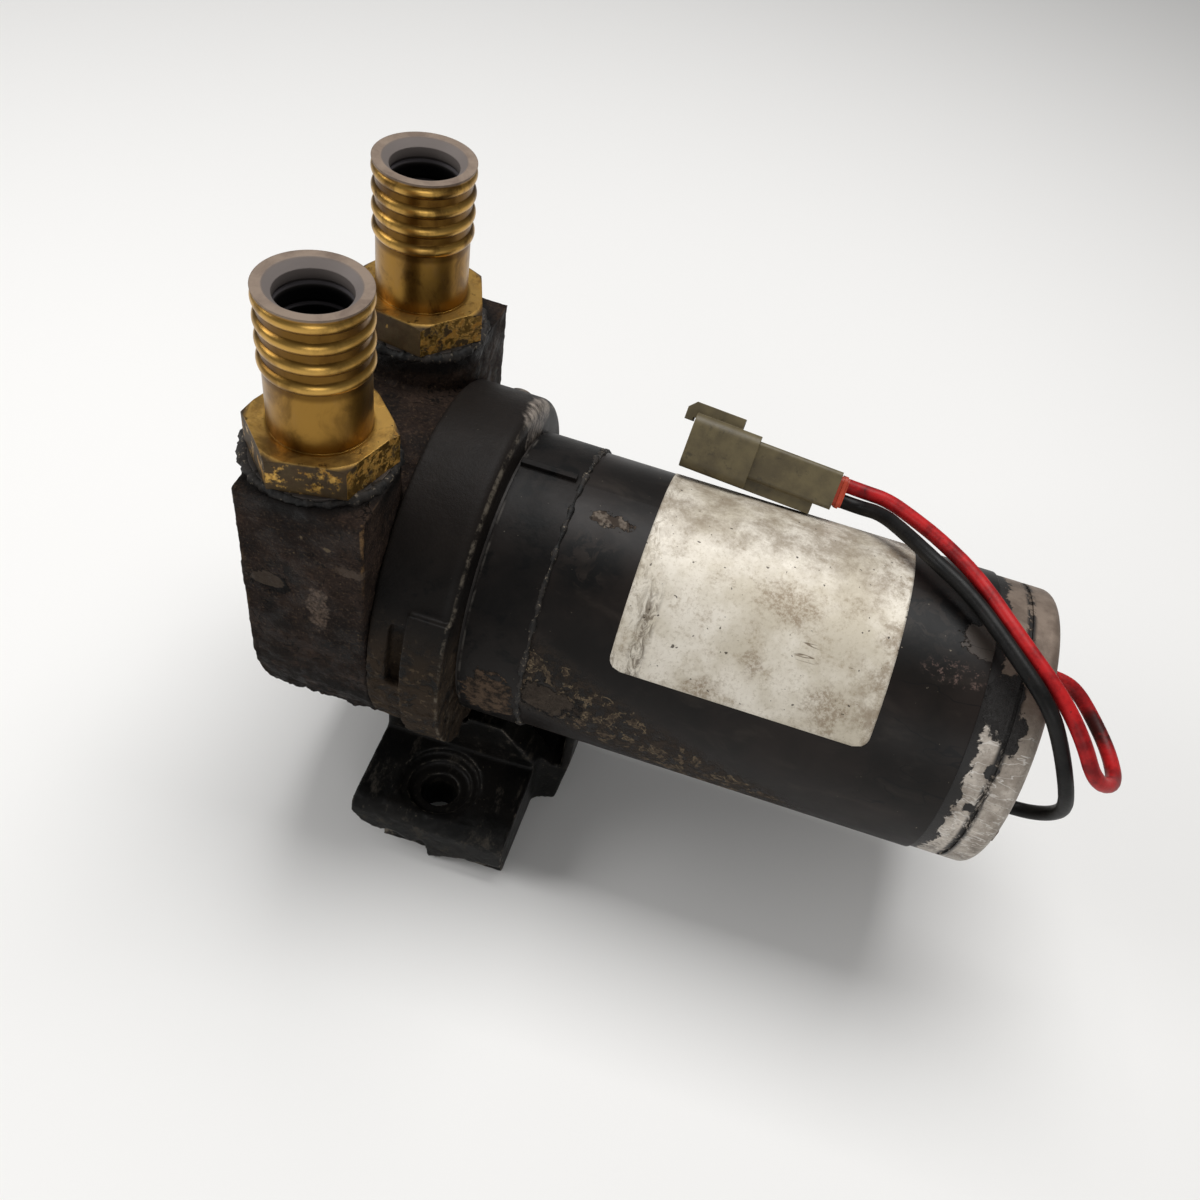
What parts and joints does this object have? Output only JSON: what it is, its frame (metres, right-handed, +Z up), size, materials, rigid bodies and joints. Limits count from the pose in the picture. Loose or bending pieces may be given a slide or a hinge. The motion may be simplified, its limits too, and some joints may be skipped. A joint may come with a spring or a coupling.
{
  "type": "refuelling pump",
  "caption": "Self-priming fuel transfer pump: sliding-vane head with two upright brass hose tails on a cylindrical direct-current motor, moulded foot, two leads and a connector.",
  "frame": {"origin": "midway between the two foot holes on the foot's underside", "axes": "+X along the motor axis towards the end cap, +Y away from the near hose tail, +Z up"},
  "size_m": [0.2291, 0.106, 0.1751],
  "materials": {
    "cast_black": "crusted black paint over a casting",
    "black_enamel": "glossy black enamel",
    "cast_aluminium": "cast, with black paint remnants",
    "brass": "tarnished",
    "fibre": "dark fibre",
    "foot_plastic": "moulded, satin",
    "foil": "aged matt foil, bare",
    "black_insulation": "satin",
    "red_insulation": "satin",
    "connector_plastic": "moulded grey",
    "seal_orange": "matt",
    "contact_metal": "plated",
    "zinc_steel": "zinc plated",
    "bright_steel": "ground",
    "pump_iron": "machined",
    "bronze": "machined",
    "vane_plastic": "smooth",
    "copper": "bare",
    "carbon": "matt",
    "ferrite": "matt",
    "card": "laminate"
  },
  "bodies": {
    "pump": {"bearing_preload_washer": "zinc_steel", "black_lead": "black_insulation", "brush_card": "card", "brush_springs": "copper", "brushes": "carbon", "cam_liner": "pump_iron", "connector_housing": "connector_plastic", "connector_pins": "contact_metal", "connector_seal": "seal_orange", "connector_wedge": "seal_orange", "far_hose_tail": "brass", "far_sealing_washer": "fibre", "field_magnets": "ferrite", "foot_screws": "zinc_steel", "front_bearing_outer_ring": "bright_steel", "front_bush": "bronze", "front_cover": "cast_black", "front_cover_screws": "zinc_steel", "front_cover_seal": "black_insulation", "lead_grommets": "black_insulation", "motor_end_cap": "cast_aluminium", "motor_front_bell": "cast_black", "motor_gasket": "fibre", "motor_tube": "black_enamel", "mounting_foot": "foot_plastic", "near_hose_tail": "brass", "near_sealing_washer": "fibre", "pump_head": "cast_black", "rating_label": "foil", "rear_bearing_outer_ring": "bright_steel", "rear_wear_plate": "bright_steel", "red_lead": "red_insulation", "relief_plug": "bright_steel", "relief_spring": "bright_steel", "seal_housing": "cast_black", "shaft_seal": "black_insulation", "through_bolts": "zinc_steel"},
    "armature": {"motor_shaft": "bright_steel", "pump_rotor": "pump_iron", "rotor_key": "bright_steel", "armature_core": "pump_iron", "armature_coils": "copper", "commutator": "copper", "front_bearing_inner_ring": "bright_steel", "rear_bearing_inner_ring": "bright_steel"},
    "front_balls": {"front_bearing_balls": "bright_steel"},
    "rear_balls": {"rear_bearing_balls": "bright_steel"},
    "vane_body_1": {"vane_1": "vane_plastic"},
    "vane_body_2": {"vane_2": "vane_plastic"},
    "vane_body_3": {"vane_3": "vane_plastic"},
    "vane_body_4": {"vane_4": "vane_plastic"},
    "relief_valve": {"relief_poppet": "bright_steel"}
  },
  "joints": [
    {"name": "armature_spin", "type": "hinge", "parent": "pump", "child": "armature", "pos_m": [0, 0, 0.0765], "axis": [1, 0, 0], "continuous": true},
    {"name": "front_balls_spin", "type": "hinge", "parent": "pump", "child": "front_balls", "pos_m": [0, 0, 0.0765], "axis": [1, 0, 0], "continuous": true},
    {"name": "rear_balls_spin", "type": "hinge", "parent": "pump", "child": "rear_balls", "pos_m": [0, 0, 0.0765], "axis": [1, 0, 0], "continuous": true},
    {"name": "vane_1_slide", "type": "slide", "parent": "armature", "child": "vane_body_1", "axis": [0, 0.7071, 0.7071], "range_m": [0, 0.0007]},
    {"name": "vane_2_slide", "type": "slide", "parent": "armature", "child": "vane_body_2", "axis": [0, -0.7071, 0.7071], "range_m": [0, 0.0007]},
    {"name": "vane_3_slide", "type": "slide", "parent": "armature", "child": "vane_body_3", "axis": [0, -0.7071, -0.7071], "range_m": [0, 0.0007]},
    {"name": "vane_4_slide", "type": "slide", "parent": "armature", "child": "vane_body_4", "axis": [0, 0.7071, -0.7071], "range_m": [0, 0.0007]},
    {"name": "relief_lift", "type": "slide", "parent": "pump", "child": "relief_valve", "axis": [0, 1, 0], "range_m": [0, 0.003], "stiffness_N_per_m": 900, "deforming": ["relief_spring"]}
  ],
  "couplings": [
    {"joint": "front_balls_spin", "follows": "armature_spin", "ratio": 0.405},
    {"joint": "rear_balls_spin", "follows": "armature_spin", "ratio": 0.394}
  ]
}
